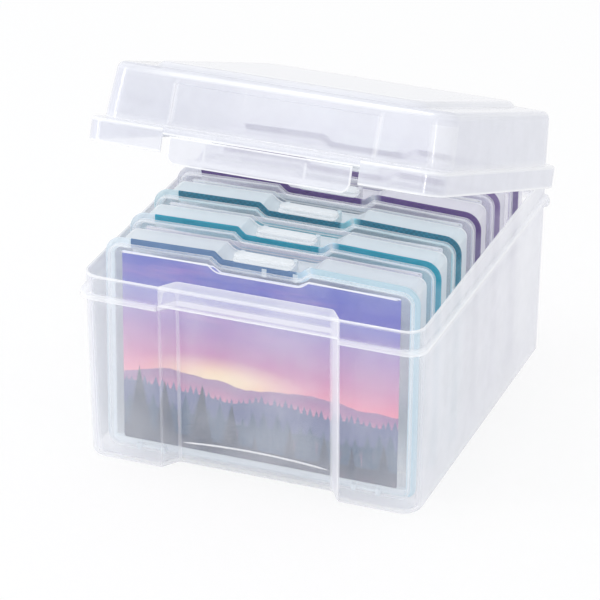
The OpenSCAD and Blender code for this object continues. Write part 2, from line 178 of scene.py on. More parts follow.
@dataclass
class Shell:
    """A closed surface in millimetres: vertices, faces, and each vertex's tint and how much rim it is, which
    makes the plastic denser and paints it whiter as a highlight.
    """

    vertices: np.ndarray
    faces: list[tuple[int, ...]]
    tint: np.ndarray
    rim: np.ndarray

    def turned(self, angle: float, y: float, z: float) -> "Shell":
        """Returns the shell turned by `angle` radians about a line along X through y and z."""
        v = self.vertices - [0, y, z]
        c, s = math.cos(angle), math.sin(angle)
        out = np.stack([v[:, 0], v[:, 1] * c - v[:, 2] * s, v[:, 1] * s + v[:, 2] * c], 1)
        return Shell(out + [0, y, z], self.faces, self.tint, self.rim)

    def shifted(self, y: float) -> "Shell":
        """Returns the shell moved back by y."""
        return Shell(self.vertices + [0, y, 0], self.faces, self.tint, self.rim)

    def marked(self, tint: float, rim: float) -> "Shell":
        """Returns the shell with one tint and one rim value all over."""
        n = len(self.vertices)
        return Shell(self.vertices, self.faces, np.full(n, tint), np.full(n, rim))


Marks = Optional[Sequence[Union[float, np.ndarray]]]


def marks(values: Marks, count: int, n: int) -> np.ndarray:
    """Spreads one value or one array for each of `count` rings of n points to all vertices and both poles."""
    grid = np.stack([np.broadcast_to(np.asarray(v, float), n) for v in (values or [0.0] * count)])
    return np.concatenate([grid.ravel(), [grid[0].mean(), grid[-1].mean()]])


def loft(rings: Sequence[np.ndarray], tint: Marks = None, rim: Marks = None) -> Shell:
    """Skins rings of equal length and closes both ends with a pole in the middle of the end ring.

    The surface is S(u, v): u runs round a ring, v from ring to ring, straight between neighbours. If the
    signed volume, a sixth of the sum of a . (b x c) over the triangles, is negative, the faces are turned.

    Args:
        rings: the rings, each with one row for each point.
        tint: the tint of each ring, or of each of its points.
        rim: how much rim each ring is, or each of its points, which makes it denser and paints it whiter as a
            highlight.

    Returns:
        The closed shell.
    """
    grid = np.stack(rings)
    count, n = grid.shape[:2]
    poles = np.stack([grid[0].mean(0), grid[-1].mean(0)])
    vertices = np.concatenate([grid.reshape(-1, 3), poles])
    i, j = np.meshgrid(np.arange(count - 1), np.arange(n), indexing="ij")
    k = (j + 1) % n
    quads = np.stack([i * n + j, i * n + k, (i + 1) * n + k, (i + 1) * n + j], -1).reshape(-1, 4)
    a, b = np.arange(n), (np.arange(n) + 1) % n
    low = np.stack([np.full(n, count * n), b, a], 1)
    high = np.stack([np.full(n, count * n + 1), (count - 1) * n + a, (count - 1) * n + b], 1)
    tris = np.concatenate([quads[:, [0, 1, 2]], quads[:, [0, 2, 3]], low, high])
    t = vertices[tris]
    if np.einsum("ij,ij->i", t[:, 0], np.cross(t[:, 1], t[:, 2])).sum() < 0:
        quads, low, high = quads[:, ::-1], low[:, ::-1], high[:, ::-1]
    faces = [tuple(f) for f in np.concatenate([low, high]).tolist()] + [tuple(f) for f in quads.tolist()]
    return Shell(vertices, faces, marks(tint, count, n), marks(rim, count, n))


def ring(points: np.ndarray, level: Union[float, np.ndarray], axis: Axis) -> np.ndarray:
    """Places an outline's points at a level along an axis and returns them as rows of x, y and z."""
    out = np.empty((len(points), 3))
    out[:, axis.value[0]], out[:, axis.value[1]] = points[:, 0], points[:, 1]
    out[:, axis.value[2]] = level
    return out


def slab(outline: Outline, low: float, high: float, edge: float, axis: Axis, steps: int = 3,
         rim: float = 0.0) -> Shell:
    """A plate between two levels with a quarter-round edge all round both faces.

    The inset is edge (1 - sin t) and the level low + edge (1 - cos t) for t from 0 to a quarter turn, and
    the same mirrored at the upper face.

    Args:
        outline: the plate's outline.
        low: level of one face.
        high: level of the other.
        edge: radius of the rounded edges.
        axis: the axis along which the plate is thick.
        steps: points on each quarter round.
        rim: how much rim the edge is, which makes it denser and paints it whiter as a highlight.

    Returns:
        The plate.
    """
    t = np.linspace(0, math.pi / 2, steps + 1)
    inset = np.concatenate([[edge + 0.7], edge * (1 - np.sin(t))])
    rise = np.concatenate([[0.0], edge * (1 - np.cos(t))])
    glow = [0.0] + [rim] * len(t)
    rings = [ring(outline.points(i), low + r, axis) for i, r in zip(inset, rise)]
    rings += [ring(outline.points(i), high - r, axis) for i, r in zip(inset[::-1], rise[::-1])]
    return loft(rings, None, glow + glow[::-1])


def block(low: Sequence[float], high: Sequence[float], edge: float) -> Shell:
    """A box between two corners with rounded edges."""
    x0, y0, z0 = low
    x1, y1, z1 = high
    return slab(rectangle(x0, x1, y0, y1, edge, 3), z0, z1, edge * 0.7, Axis.Z, 2)


def bar(x: float, width: float, y: float, z: float, r: float, edge: float = 0.3, steps: int = 24) -> Shell:
    """A round bar along X with rounded ends: circles of radius r that shrink by the edge's quarter round."""
    a = np.linspace(0, 2 * math.pi, steps, endpoint=False)
    circle = np.stack([np.cos(a), np.sin(a)], 1)
    level = np.array([0, 0.3 * edge, edge, width - edge, width - 0.3 * edge, width]) + x - width / 2
    radius = np.array([r - edge, r - 0.3 * edge, r, r, r - 0.3 * edge, r - edge])
    return loft([ring(circle * s + [y, z], v, Axis.X) for s, v in zip(radius, level)])


def bead(path: np.ndarray, r: float, sides: int = 8) -> Shell:
    """A thin bead along a path in x and z at a fixed y: a circle carried along it, square to its direction.

    Args:
        path: rows of x, y and z.
        r: radius of the bead, which tapers to a fifth at both ends.
        sides: points on its circle.

    Returns:
        The bead.
    """
    d = np.gradient(path, axis=0)
    d /= np.linalg.norm(d, axis=1)[:, None]
    out = np.cross(d, [0.0, 1.0, 0.0])
    a = np.linspace(0, 2 * math.pi, sides, endpoint=False)
    size = r * np.minimum(1, 0.2 + np.minimum(np.arange(len(path)), np.arange(len(path))[::-1]) / 3)
    grid = path[:, None] + size[:, None, None] * (
        np.cos(a)[None, :, None] * out[:, None] + np.sin(a)[None, :, None] * np.array([0.0, 1.0, 0.0]))
    return loft(list(grid))


def make_piece(name: str, shells: Sequence[Shell], material: Material, body: str, node: str) -> None:
    """Joins shells into one object at the origin, dresses it and ties it to the frame.

    Args:
        name: the piece's name.
        shells: its closed shells.
        material: its finish.
        body: the body that it rides on.
        node: the node that it stands for.
    """
    shift = np.cumsum([0] + [len(s.vertices) for s in shells])
    faces = [tuple(i + k for i in f) for s, k in zip(shells, shift.tolist()) for f in s.faces]
    mesh = bpy.data.meshes.new(name)
    mesh.from_pydata((np.concatenate([s.vertices for s in shells]) * MM).tolist(), [], faces)
    mesh.polygons.foreach_set("use_smooth", np.ones(len(mesh.polygons), bool))
    for label in ("tint", "rim"):
        values = np.concatenate([getattr(s, label) for s in shells]).astype(np.float32)
        mesh.attributes.new(label, "FLOAT", "POINT").data.foreach_set("value", values)
    mesh.set_sharp_from_angle(angle=SHARP_ANGLE)
    mesh.materials.append(material)
    mesh.update()
    obj = bpy.data.objects.new(name, mesh)
    bpy.context.scene.collection.objects.link(obj)
    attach(obj, body)
    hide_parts(node)
    log.info("%s: %d vertices, %d faces", name, len(mesh.vertices), len(mesh.polygons))


class Graph:
    """Adds nodes to one material's or world's tree and links them."""

    def __init__(self, name: str, blocks: Optional[bpy.types.bpy_prop_collection] = None) -> None:
        """Starts an empty material called `name`, or another block of the kind that `blocks` holds."""
        self.block = (bpy.data.materials if blocks is None else blocks).new(name)
        self.block.use_nodes = True
        self.tree = self.block.node_tree
        self.tree.nodes.clear()

    def add(self, kind: str, inputs: Optional[dict[Union[str, int], object]] = None,
            **settings: object) -> bpy.types.Node:
        """Adds a node, sets its settings and fills or links its inputs.

        Args:
            kind: the node's type, without the word ShaderNode in front.
            inputs: values or sockets by the input's name or number.
            **settings: properties of the node.

        Returns:
            The node.
        """
        node = self.tree.nodes.new("ShaderNode" + kind)
        for key, value in settings.items():
            setattr(node, key, value)
        for key, value in (inputs or {}).items():
            if isinstance(value, Link):
                self.tree.links.new(value, node.inputs[key])
            else:
                node.inputs[key].default_value = value
        return node

    def math(self, operation: str, a: Socket, b: Socket = 0.0, clamp: bool = False) -> Link:
        """Adds one math node and returns its output."""
        return self.add("Math", {0: a, 1: b}, operation=operation, use_clamp=clamp).outputs[0]

    def plus(self, a: Socket, b: Socket, clamp: bool = False) -> Link:
        """Returns a + b."""
        return self.math("ADD", a, b, clamp)

    def minus(self, a: Socket, b: Socket, clamp: bool = False) -> Link:
        """Returns a - b."""
        return self.math("SUBTRACT", a, b, clamp)

    def times(self, a: Socket, b: Socket, clamp: bool = False) -> Link:
        """Returns a times b."""
        return self.math("MULTIPLY", a, b, clamp)

    def spread(self, value: Socket, low: float, high: float, to_low: float = 0.0,
               to_high: float = 1.0) -> Link:
        """Maps a value from low..high to to_low..to_high, smoothly and clamped, and returns the output."""
        inputs = {"Value": value, "From Min": low, "From Max": high, "To Min": to_low, "To Max": to_high}
        return self.add("MapRange", inputs, interpolation_type="SMOOTHSTEP").outputs["Result"]

    def mix(self, factor: Socket, a: Union[Rgb, Link], b: Union[Rgb, Link]) -> Link:
        """Mixes two colours and returns the output."""
        a, b = (v if isinstance(v, Link) else (*v, 1.0) for v in (a, b))
        return self.add("Mix", {0: factor, 6: a, 7: b}, data_type="RGBA").outputs[2]

    def place(self, scale: Sequence[float] = (1, 1, 1)) -> Link:
        """Returns object coordinates through a Mapping node."""
        where = self.add("TexCoord").outputs["Object"]
        return self.add("Mapping", {"Vector": where, "Scale": scale}).outputs[0]

    def noise(self, vector: Link, scale: float, detail: float = 2.0, rough: float = 0.5) -> Link:
        """Adds a noise texture and returns its value."""
        inputs = {"Vector": vector, "Scale": scale, "Detail": detail, "Roughness": rough}
        return self.add("TexNoise", inputs).outputs[0]

    def bump(self, height: Link, strength: float, distance: float) -> Link:
        """Adds a bump node and returns its normal."""
        return self.add("Bump", {"Height": height, "Strength": strength, "Distance": distance}).outputs[0]

    def between(self, factor: Socket, a: Socket, b: Socket) -> Link:
        """Mixes two numbers and returns the output."""
        return self.add("Mix", {0: factor, 2: a, 3: b}, data_type="FLOAT").outputs[0]

    def value(self, name: str) -> Link:
        """Reads a value stored at the vertices and returns the output."""
        return self.add("Attribute", attribute_name=name).outputs["Fac"]

    def facing(self, blend: float) -> Link:
        """Returns how far the surface is turned away: 0 seen square on, 1 seen edge on."""
        return self.add("LayerWeight", {"Blend": blend}).outputs["Facing"]

    def plastic(self, colour: Link, alpha: Link, grain: float, gloss: float, spill: float) -> Material:
        """Finishes a see-through plastic: a thin milky body under a clear gloss, which most light passes.

        The gloss takes 0.04 + 0.9 f^5 of the surface, where f is 1 less the cosine of the viewing angle,
        and lets the light of lamps and of other surfaces through.

        Args:
            colour: colour of the milky body.
            alpha: its opacity.
            grain: how fine its moulded grain is.
            gloss: roughness of the gloss.
            spill: share of the opacity that lamps and light from other surfaces don't meet, because
                milky plastic scatters most of its light onward.

        Returns:
            The material.
        """
        fine = self.noise(self.place(), grain, 2)
        normal = self.bump(fine, 0.3, 0.00002)
        path = self.add("LightPath").outputs
        lamp = self.plus(path["Is Shadow Ray"], path["Is Diffuse Ray"], clamp=True)
        alpha = self.times(alpha, self.minus(1.0, self.times(lamp, spill)))
        rough = self.spread(fine, 0.2, 0.8, 0.3, 0.45)
        body = self.add("BsdfPrincipled", {"Base Color": colour, "Roughness": rough, "Alpha": alpha,
                                           "Specular IOR Level": 0.0, "Normal": normal})
        away = self.math("POWER", self.facing(0.5), 5.0)
        share = self.times(self.plus(self.times(away, 0.9), 0.04), self.minus(1.0, lamp))
        shine = self.add("BsdfGlossy", {"Color": (1, 1, 1, 1), "Roughness": gloss, "Normal": normal})
        both = self.add("MixShader", {0: share, 1: body.outputs[0], 2: shine.outputs[0]})
        return self.finish(both.outputs[0])

    def finish(self, shader: Link) -> Material:
        """Links a shader to the output and returns the material."""
        self.add("OutputMaterial", {"Surface": shader})
        return self.block


@dataclass(frozen=True)
class FrostedClear:
    """Clear polypropylene with a faint frost: thin seen square on, denser edge on and at its rims, where its
    colour is also mixed towards white as a painted highlight.
    """

    name: str
    colour: Rgb
    face: float
    graze: float
    rim: float = 0.75
    gloss: float = 0.14
    spill: float = 0.85
    mottle: float = 0.03

    def build(self) -> Material:
        """Builds the material: opacity rises with the facing value, over faint clouds."""
        g = Graph(self.name)
        clouds, rim = g.noise(g.place(), 28, 3), g.value("rim")
        colour = g.mix(g.spread(clouds, 0.3, 0.7), tuple(c * 0.98 for c in self.colour),
                       tuple(min(1.0, c * 1.02) for c in self.colour))
        # Painted highlight: the rim value mixes the colour towards white, so rims and edges show as bright
        # lines.
        colour = g.mix(rim, colour, (0.97, 0.975, 0.99))
        alpha = g.spread(g.facing(0.35), 0.0, 1.0, self.face, self.graze)
        alpha = g.plus(alpha, g.spread(clouds, 0.3, 0.7, -self.mottle, self.mottle), clamp=True)
        return g.plastic(colour, g.between(rim, alpha, self.rim), 1400, self.gloss, self.spill)


@dataclass(frozen=True)
class Palette:
    """Colours of one case, as display values from 0 to 255.

    Attributes:
        band: the coloured band.
        wall: the thin walls.
        middle: the thicker edges inside the band.
        card: the card, or None where a print stands.
        sheet_slot: material slot of the card or print; not used.
        right: the band's right part, where it differs.
        dots: how much a fine chequer darkens the band.
    """

    band: Rgb
    wall: Rgb
    middle: Rgb
    card: Optional[Rgb]
    sheet_slot: str
    right: Optional[Rgb] = None
    dots: float = 0.0


class Tint(Enum):
    """The six cases from front to back."""

    SLATE = Palette((92, 124, 166), (232, 240, 246), (192, 216, 232), None, "print", (186, 212, 224))
    TEAL = Palette((26, 150, 176), (230, 240, 246), (186, 216, 232), (190, 215, 230), "blue_card")
    PETROL = Palette((18, 112, 140), (228, 239, 245), (140, 200, 214), (130, 195, 212), "blue_card", dots=0.4)
    PURPLE = Palette((88, 62, 126), (234, 233, 242), (176, 178, 194), (165, 172, 186), "lilac_card")
    VIOLET = Palette((125, 107, 155), (234, 233, 242), (208, 202, 224), (205, 200, 225), "lilac_card")
    INDIGO = Palette((88, 68, 130), (234, 233, 242), (208, 202, 224), (205, 200, 225), "lilac_card")


@dataclass(frozen=True)
class TintedTray:
    """Tinted polypropylene: dense where it shows as a band, thin in the tray's walls.

    Attributes:
        MIDDLE: the tint value at which the middle colour is reached.
        name: the material's name.
        look: its colours.
        band_alpha: opacity of the band.
        face: opacity of a wall seen square on.
        graze: opacity of a wall seen edge on.
    """

    MIDDLE: ClassVar[float] = 0.3
    name: str
    look: Palette
    band_alpha: float = 0.94
    face: float = 0.28
    graze: float = 0.95

    def build(self) -> Material:
        """Builds the material: colour and opacity follow the tint and rim values and the facing value."""
        g, look = Graph(self.name), self.look
        base, thin, thick = (linear(*c) for c in (look.band, look.wall, look.middle))
        where, tint, rim = g.place(), g.value("tint"), g.value("rim")
        clouds = g.noise(where, 60, 3)
        band = g.mix(g.spread(clouds, 0.3, 0.7), tuple(c * 0.9 for c in base), base)
        if look.right:
            x = g.add("SeparateXYZ", {0: where}).outputs["X"]
            band = g.mix(g.spread(x, 0.018, 0.036), band, linear(*look.right))
        if look.dots:
            check = g.add("TexChecker", {"Vector": where, "Scale": 620.0}).outputs["Fac"]
            band = g.mix(g.times(check, look.dots), band, tuple(c * 0.45 for c in base))
        light = g.times(tint, 1 / self.MIDDLE, clamp=True)
        full = g.math("DIVIDE", g.minus(tint, self.MIDDLE), 1 - self.MIDDLE, clamp=True)
        colour = g.mix(full, g.mix(light, thin, thick), band)
        wall = g.spread(g.facing(0.35), 0.0, 1.0, self.face, self.graze)
        # Painted highlight: the rim value raises the opacity to 0.8 and mixes the colour towards white.
        alpha = g.between(rim, g.between(light, wall, self.band_alpha), 0.8)
        return g.plastic(g.mix(rim, colour, (0.96, 0.975, 0.98)), alpha, 1500, 0.14, 0.85)


@dataclass(frozen=True)
class MattCard:
    """Matt tinted card with fine fibres and a paler border."""

    name: str
    colour: Rgb
    half: float = 86.3
    low: float = 11.0
    high: float = 132.6

    def build(self) -> Material:
        """Builds the material: a plain field inside the border, and short fibres as stretched noise."""
        g = Graph(self.name)
        where = g.place()
        parts = g.add("SeparateXYZ", {0: where}).outputs
        across = g.math("ABSOLUTE", parts["X"])
        side = g.spread(across, (self.half - 0.2) * MM, (self.half + 0.2) * MM, 1.0, 0.0)
        foot = g.spread(parts["Z"], (self.low - 0.2) * MM, (self.low + 0.2) * MM)
        top = g.spread(parts["Z"], (self.high - 0.6) * MM, (self.high + 0.2) * MM, 1.0, 0.0)
        field = g.times(side, g.times(foot, top))
        fibres = g.noise(g.place((1, 1, 0.25)), 900, 4, 0.6)
        specks = g.noise(where, 260, 3)
        colour = g.mix(field, linear(232, 233, 242), self.colour)
        colour = g.mix(g.spread(fibres, 0.35, 0.65, 0.06, 0.0), colour, (0.0, 0.0, 0.0))
        colour = g.mix(g.spread(specks, 0.6, 0.75, 0.0, 0.1), colour, (1.0, 1.0, 1.0))
        shader = g.add("BsdfPrincipled", {"Base Color": colour, "Roughness": 0.8,
                                                    "Normal": g.bump(fibres, 0.3, 0.00005)})
        return g.finish(shader.outputs[0])


@dataclass(frozen=True)
class DuskPrint:
    """A generic dusk landscape of layered hills and conifers, on glossy photo paper."""

    name: str
    width: float
    height: float
    low: float
    border: float = 0.8
    dip: float = 3.2
    dip_foot: float = 24.5
    dip_half: float = 30.0

    def ridge(self, g: Graph, u: Link, v: Link, seed: float, level: float,
              swing: float, scale: float) -> tuple[Link, Link]:
        """A hill line: its height is level + swing (noise(u scale, seed) - 1/2).

        Args:
            g: the material's graph.
            u: place across the print, 0 to 1.
            v: place up the print, 0 to 1.
            seed: second coordinate of the noise.
            level: mean height.
            swing: height range.
            scale: how many hills there are.

        Returns:
            The mask below the line, and the line's height.
        """
        at = g.add("CombineXYZ", {"X": u, "Y": seed}).outputs[0]
        wave = g.noise(at, scale, 5, 0.45)
        line = g.add("Math", {0: g.minus(wave, 0.5), 1: swing, 2: level},
                     operation="MULTIPLY_ADD").outputs[0]
        return g.spread(g.minus(line, v), -0.003, 0.004), line

    def trees(self, g: Graph, u: Link, v: Link, line: Link,
              count: float, tall: Socket, slope: float) -> Link:
        """Conifers on a hill line: one pointed spire in each of `count` cells across.

        A spire's edge lies slope d below its tip, where d is the distance from its middle, drawn out by up
        to half in each of its drooping tiers. Its tip is a random share of `tall` above the line.

        Args:
            g: the material's graph.
            u: place across the print.
            v: place up the print.
            line: height of the hill line.
            count: number of cells.
            tall: height of the tallest spire, as a share of the print's height.
            slope: how steep a spire is.

        Returns:
            The mask of the trees.
        """
        cell = g.times(u, count)
        lot = g.add("TexWhiteNoise", {"W": g.math("FLOOR", cell)}, noise_dimensions="1D").outputs[0]
        middle = g.spread(lot, 0.0, 1.0, 0.36, 0.64)
        off = g.math("ABSOLUTE", g.minus(g.math("FRACT", cell), middle))
        tiers = g.plus(g.times(g.math("FRACT", g.times(v, 54)), 0.6), 0.7)
        fall = g.times(g.times(off, tiers), slope * self.width / self.height / count)
        tip = g.times(g.plus(g.times(g.math("FRACT", g.times(lot, 7.3)), 0.55),
                                        0.45), tall)
        top = g.minus(g.plus(line, tip), fall)
        return g.spread(g.minus(top, v), -0.003, 0.006)

    def sky(self, g: Graph, u: Link, v: Link) -> Link:
        """The sky: a ramp over the height, thin clouds, and a glow that fades away from its middle.

        Args:
            g: the material's graph.
            u: place across the print.
            v: place up the print.

        Returns:
            The colour.
        """
        sky = g.add("ValToRGB", {"Fac": v})
        stops = [(0.26, (255, 188, 160)), (1.0, (106, 116, 194)), (0.38, (238, 140, 168)),
                 (0.5, (196, 116, 170)), (0.64, (158, 112, 182)), (0.8, (118, 116, 196))]
        ramp = sky.color_ramp.elements
        for number, (at, colour) in enumerate(stops):
            stop = ramp[number] if number < 2 else ramp.new(at)
            stop.position, stop.color = at, (*linear(*colour), 1)
        wisps = g.noise(g.place((7, 1, 34)), 1.1, 5, 0.6)
        high = g.times(g.spread(wisps, 0.5, 0.72), g.spread(v, 0.42, 0.66, 0.0, 0.35))
        picture = g.mix(high, sky.outputs[0], linear(222, 160, 200))
        dx, dz = g.times(g.minus(u, 0.37), 0.95), g.times(g.minus(v, 0.4), 2.4)
        away = g.math("SQRT", g.plus(g.times(dx, dx), g.times(dz, dz)))
        return g.mix(g.spread(away, 0.02, 0.34, 0.95, 0.0), picture, linear(255, 232, 190))

    def hills(self, g: Graph, u: Link, v: Link, picture: Link) -> Link:
        """Four hill lines from far to near, each misty at its foot, the last three with conifers on them.

        Args:
            g: the material's graph.
            u: place across the print.
            v: place up the print.
            picture: the colour behind the hills.

        Returns:
            The colour with the hills.
        """
        layers = [(2.7, 0.39, 0.2, 3.1, (150, 104, 158), 0.0, 0, 0),
                  (9.1, 0.3, 0.16, 4.2, (84, 98, 146), 0.05, 46, 3.2),
                  (5.3, 0.19, 0.13, 3.4, (44, 82, 118), 0.1, 24, 3.6),
                  (1.9, 0.07, 0.1, 2.6, (16, 48, 84), 0.56, 9, 5.2)]
        for seed, level, swing, scale, colour, tall, count, slope in layers:
            near = seed == layers[-1][0]
            mask, line = self.ridge(g, u, v, seed, level, swing, scale)
            mist = g.spread(g.minus(line, v), 0.01, 0.13, 0.0, 0.1 if near else 0.62)
            picture = g.mix(mask, picture, g.mix(mist, linear(*colour), linear(236, 142, 172)))
            if count:
                reach = g.spread(u, 0.16, 0.5, tall, tall * 0.3) if near else tall
                picture = g.mix(self.trees(g, u, v, line, count, reach, slope), picture, linear(*colour))
        return picture

    def build(self) -> Material:
        """Builds the picture on object coordinates, under a pale top edge that follows the dip."""
        g = Graph(self.name)
        parts = g.add("SeparateXYZ", {0: g.add("TexCoord").outputs["Object"]}).outputs
        u = g.plus(g.times(parts["X"], 1 / (self.width * MM)), 0.5)
        v = g.plus(g.times(parts["Z"], 1 / (self.height * MM)), -self.low / self.height)
        picture = self.hills(g, u, v, self.sky(g, u, v))
        across = g.times(g.math("ABSOLUTE", g.minus(u, 0.5)), self.width)
        dip = g.spread(across, self.dip_foot, self.dip_half, self.dip, 0.0)
        up = g.plus(g.times(g.minus(v, 0.5), self.height), dip)
        rim = self.height / 2 - self.border
        picture = g.mix(g.spread(up, rim - 0.1, rim + 0.1), picture, linear(226, 230, 246))
        paper = g.noise(g.place(), 2200, 2)
        rough, normal = g.spread(paper, 0.2, 0.8, 0.28, 0.38), g.bump(paper, 0.15, 0.00002)
        shader = g.add("BsdfPrincipled", {"Base Color": picture, "Roughness": rough, "Normal": normal})
        return g.finish(shader.outputs[0])


class Finishes:
    """The finishes that several pieces share, built once."""

    def __init__(self) -> None:
        """Builds the materials."""
        self.tub = FrostedClear("tub_clear", (0.88, 0.885, 0.935), 0.03, 0.95, 0.6).build()
        self.lid = FrostedClear("lid_clear", (0.79, 0.8, 0.87), 0.45, 0.9).build()
        self.cover = FrostedClear("cover_clear", (0.9, 0.92, 0.96), 0.02, 0.55).build()
        self.latch = FrostedClear("latch_white", (0.88, 0.92, 0.94), 0.32, 0.8, 0.5).build()
        self.sheet = DuskPrint("dusk_print", 178, 127, 8.4).build()


@dataclass
class Tub:
    """The outer box: drafted walls, a recess in front, a flange and an inner rim above it."""

    base_w: float = 214.0
    base_d: float = 242.0
    grow_w: float = 2.6
    grow_d: float = 7.8
    height: float = 125.3
    wall: float = 1.6
    floor: float = 2.2
    corner_r: float = 12.0
    foot_r: float = 3.0
    flange_z: float = 112.9
    flange_side: float = 2.9
    flange_front: float = 2.8
    flange_back: float = 4.4
    flange_drop: float = 5.5
    drop_y: float = 115.3
    recess_half: float = 57.0
    recess_run: float = 7.5
    recess_d: float = 10.7
    catch_h: float = 13.3
    catch_t: float = 1.6
    hinge_x: float = 62.0
    hinge_y: float = 125.3
    hinge_z: float = 112.3
    pin_r: float = 1.5
    cheek_r: float = 2.4
    cheek_t: float = 3.0
    window: float = 19.8
    window_z: float = 109.1
    arch_half: float = 47.0
    arch_top: float = 17.9
    arch_drop: float = 2.5

    def plan(self, z: float, reach: float = 0.0) -> Outline:
        """The outline at a height; `reach` is the share of the flange that stands out.

        Half width and half depth grow in proportion to the height, up to the flange.

        Args:
            z: height above the base.
            reach: 0 for the wall, 1 for the flange's edge.

        Returns:
            The outline, with plain points where the flange ends and beside the hinge windows.
        """
        share = min(z, self.flange_z) / self.flange_z
        hw = (self.base_w + self.grow_w * share) / 2
        hd = (self.base_d + self.grow_d * share) / 2
        x, b = hw + self.flange_side * reach, hd + self.flange_back * reach
        f = -hd - self.flange_front * reach
        m, w, run, deep = self.recess_half, self.window / 2, self.recess_run, self.recess_d
        hinge, gap = self.hinge_x, 0.05
        half = [(m - run, -hd + deep, 3.0, 6, "deep"), (m - run * 0.17, -hd + deep * 0.17, 0, 1, "lean"),
                (m, -hd, 1.0, 4, "mouth"), (m + 0.9, -hd, 0, 1, "front"), (m + 0.95, f, 0, 1, "front"),
                (x, f, self.corner_r, 9, "front"), (x, self.drop_y - gap, 0, 1, "side"),
                (x, self.drop_y + gap, 0, 1, "rear"), (x, b, self.corner_r, 9, "rear"),
                (hinge + w + gap, b, 0, 1, "rear"), (hinge + w, b, 0, 1, "cut"), (hinge - w, b, 0, 1, "cut"),
                (hinge - w - gap, b, 0, 1, "rear")]
        other = [(-across, *rest) for across, *rest in half[::-1]]
        start = [row[:2] for row in other].index((-x, f))
        return Outline.listed(other[start:] + half + other[:start])

    def body(self) -> Shell:
        """The box itself as one closed loft: up the outside, over the rim and down the inside."""
        plan = self.plan(0)
        dropped, cut = plan.at("rear", "cut"), plan.at("cut")
        # Painted highlight on the recess's folds: the mouth is whiter on the right (0.9) than on the left
        # (0.4), and the deep bends take 0.5.
        folds_and_highlights = np.where(plan.points()[:, 0] > 0, 0.9, 0.4) * plan.at("mouth") + 0.5 * plan.bends("deep")
        top, f, w, r = self.height, self.flange_z, self.wall, self.foot_r
        # The rim values on the foot's round, the flange and the top edge make them denser and paint them
        # whiter as highlight lines.
        rows = [(r * (1 - math.cos(a)), 0.0, r * (1 - math.sin(a)), 0, 0.3 * math.sin(2 * a))
                for a in np.linspace(0, math.pi / 2, 5)]
        rows += [(z, 0.0, 0.0, 0, 0.0) for z in (20, 45, 70, 92, 102)]
        rows += [(f + rise, reach, 0, 1, rim) for rise, reach, rim in (
            (-3.9, 0, 0), (-3.3, 0.1, 0.6), (-3.0, 0.35, 1), (-3.0, 0.75, 1), (-2.75, 0.93, 1), (-2.2, 1, 1),
            (-0.8, 1, 1), (-0.2, 0.93, 1), (0, 0.75, 1), (0, 0.35, 0.9), (0.25, 0.1, 0.6), (0.9, 0, 0.2))]
        rows += [(f + 2.5, 0, 0, 0, 0)]
        rows += [(top - drop, 0, inset, 0, rim) for drop, inset, rim in (
            (2.2, 0, 0), (0.9, 0, 0.9), (0.25, 0.2, 1), (0, 0.6, 1), (0, 1, 1), (0.25, 1.4, 1), (0.9, w, 0.9),
            (2.2, w, 0))]
        rows += [(z, 0, w, 0, 0) for z in (f, 90, 60, 30, self.floor + 3)]
        rows += [(self.floor + 0.9, 0, w + 0.9, 0, 0), (self.floor, 0, w + 3, 0, 0)]
        rings, rims = [], []
        for number, (z, reach, inset, falls, rim) in enumerate(rows):
            level = np.full(len(dropped), float(z)) - falls * self.flange_drop * dropped
            level = np.where(cut, np.minimum(level, self.window_z + 0.002 * number), level)
            rings.append(ring(self.plan(z, reach).points(inset), level, Axis.Z))
            rims.append(np.maximum(rim, folds_and_highlights * (inset < w)))
        return loft(rings, None, rims)

    def catch(self) -> Shell:
        """The apron across the recess and the shelf behind it, as one bent strip.

        A hooked profile in y and z is carried along X, and its half width falls in a straight line with
        its depth behind the front, as the recess's slanted sides do.
        """
        f = -(self.base_d + self.grow_d) / 2
        t, top, low, back = self.catch_t, self.height, self.height - self.catch_h, f + self.recess_d + 0.6
        hook = Outline.listed([
            (f, low, 0.7, 4, "edge"), (f + t, low, 0.7, 4, "edge"), (f + t, low + 2, 0, 1, ""),
            (f + t, top - t, 0.6, 4, ""), (back, top - t, 0.3, 3, ""), (back, top, 0.3, 3, ""),
            (f + 2.4, top, 0, 1, ""), (f, top, 1.2, 6, "edge"), (f, top - 2.4, 0, 1, ""),
            (f, low + 2, 0, 1, "")])
        # Painted highlight: the rim value 0.88 paints the hooked edges as white lines, and 0.12 the rest.
        at, rim = hook.points(), 0.12 + 0.88 * hook.at("edge")
        half = self.recess_half + 0.4 - self.recess_run * np.clip((at[:, 0] - f) / self.recess_d, 0, 1)
        rings = [np.stack([half * s, at[:, 0], at[:, 1]], 1) for s in np.linspace(-1, 1, 9)]
        return loft(rings, None, [rim] * 9)

    def arch(self) -> Shell:
        """The moulded line low on the recessed panel, half sunk in it: z = top - drop (x / half)^2."""
        x = np.linspace(-self.arch_half, self.arch_half, 41)
        z = self.arch_top - self.arch_drop * (x / self.arch_half) ** 2
        y = -(self.base_d + self.grow_d * z / self.flange_z) / 2 + self.recess_d
        # Painted highlight: the rim value 0.9 paints the bead as a white line.
        return bead(np.stack([x, y, z], 1), 0.6).marked(0.0, 0.9)

    def hinges(self) -> list[Shell]:
        """The cheeks and pins that carry the lid."""
        shells = []
        for side in (-1, 1):
            x = side * self.hinge_x
            for end in (-1, 1):
                at = x + end * (self.window + self.cheek_t) / 2
                shells.append(bar(at, self.cheek_t, self.hinge_y, self.hinge_z, self.cheek_r))
            shells.append(bar(x, self.window + self.cheek_t, self.hinge_y, self.hinge_z, self.pin_r, 0.2, 20))
        # The rim value 0.5 makes the cheeks and pins denser and paints them whiter as a highlight.
        return [s.marked(0.0, 0.5) for s in shells]

    def build(self, finishes: Finishes) -> None:
        """Makes the tub's piece."""
        shells = [self.body(), self.catch(), self.arch(), *self.hinges()]
        make_piece("tub_shell", shells, finishes.tub, "tub", "tub")


